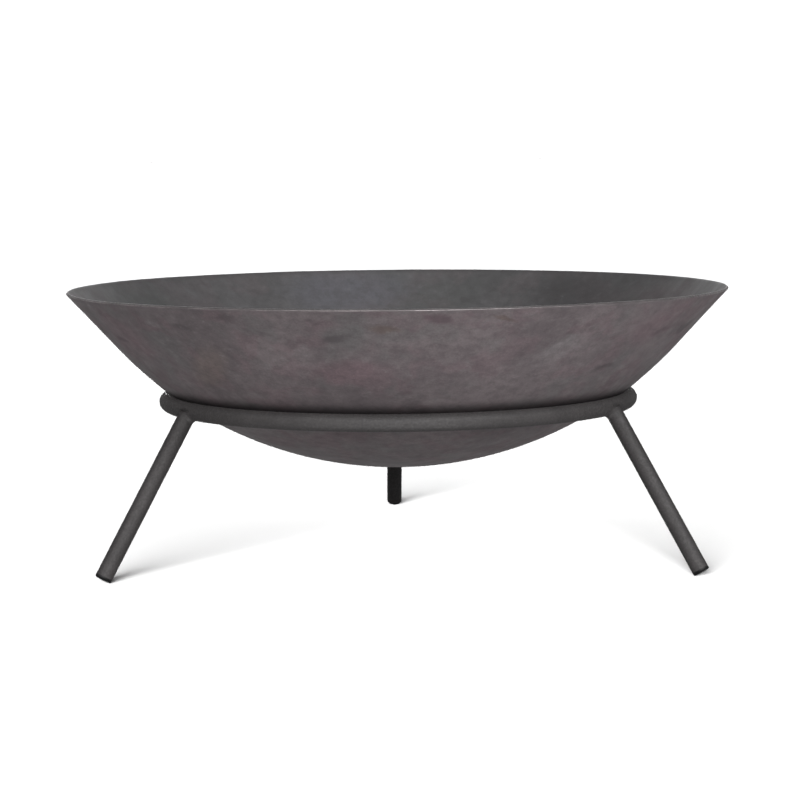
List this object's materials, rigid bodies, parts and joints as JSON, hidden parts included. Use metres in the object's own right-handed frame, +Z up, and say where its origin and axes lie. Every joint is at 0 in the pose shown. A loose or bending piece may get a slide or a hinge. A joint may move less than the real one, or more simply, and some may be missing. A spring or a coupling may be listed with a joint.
{
  "type": "fire pit with grate",
  "caption": "Wide dished steel fire bowl resting in a tubular ring stand with splayed legs, with a loose round fire grate of parallel rods inside the bowl.",
  "frame": {"origin": "on the ground, on the vertical axis of the bowl and of the stand's ring", "axes": "+Z up, +Y from the middle towards the single back leg, +X to the right of someone who faces the back leg"},
  "size_m": [0.7593, 0.7652, 0.3095],
  "materials": {
    "coated_steel": "matt charcoal powder coat with a fine texture",
    "raw_steel": "dark hot-rolled steel with mill scale, satin and mottled, bright along the cut rim",
    "end_cap": "matt black moulded plastic",
    "grate_steel": "dark rolled rod with a dusting of soot"
  },
  "bodies": {
    "stand": {"stand_ring": "coated_steel", "ring_seam_weld": "coated_steel", "leg_left": "coated_steel", "leg_right": "coated_steel", "leg_back": "coated_steel", "leg_weld_left": "coated_steel", "leg_weld_right": "coated_steel", "leg_weld_back": "coated_steel", "leg_cap_left": "end_cap", "leg_cap_right": "end_cap", "leg_cap_back": "end_cap"},
    "bowl": {"fire_bowl": "raw_steel"},
    "grate": {"grate_hoop": "grate_steel", "grate_bar_1": "grate_steel", "grate_bar_2": "grate_steel", "grate_bar_3": "grate_steel", "grate_bar_4": "grate_steel", "grate_bar_5": "grate_steel", "grate_bar_6": "grate_steel", "grate_bar_7": "grate_steel", "grate_bar_8": "grate_steel", "grate_bar_9": "grate_steel", "grate_bar_10": "grate_steel", "grate_bar_11": "grate_steel", "grate_cross_bar_left": "grate_steel", "grate_cross_bar_right": "grate_steel"}
  },
  "joints": [
    {"name": "bowl_lift", "type": "slide", "parent": "stand", "child": "bowl", "axis": [0, 0, 1], "range_m": [0, 0.25]},
    {"name": "grate_lift", "type": "slide", "parent": "bowl", "child": "grate", "axis": [0, 0, 1], "range_m": [0, 0.2]}
  ]
}
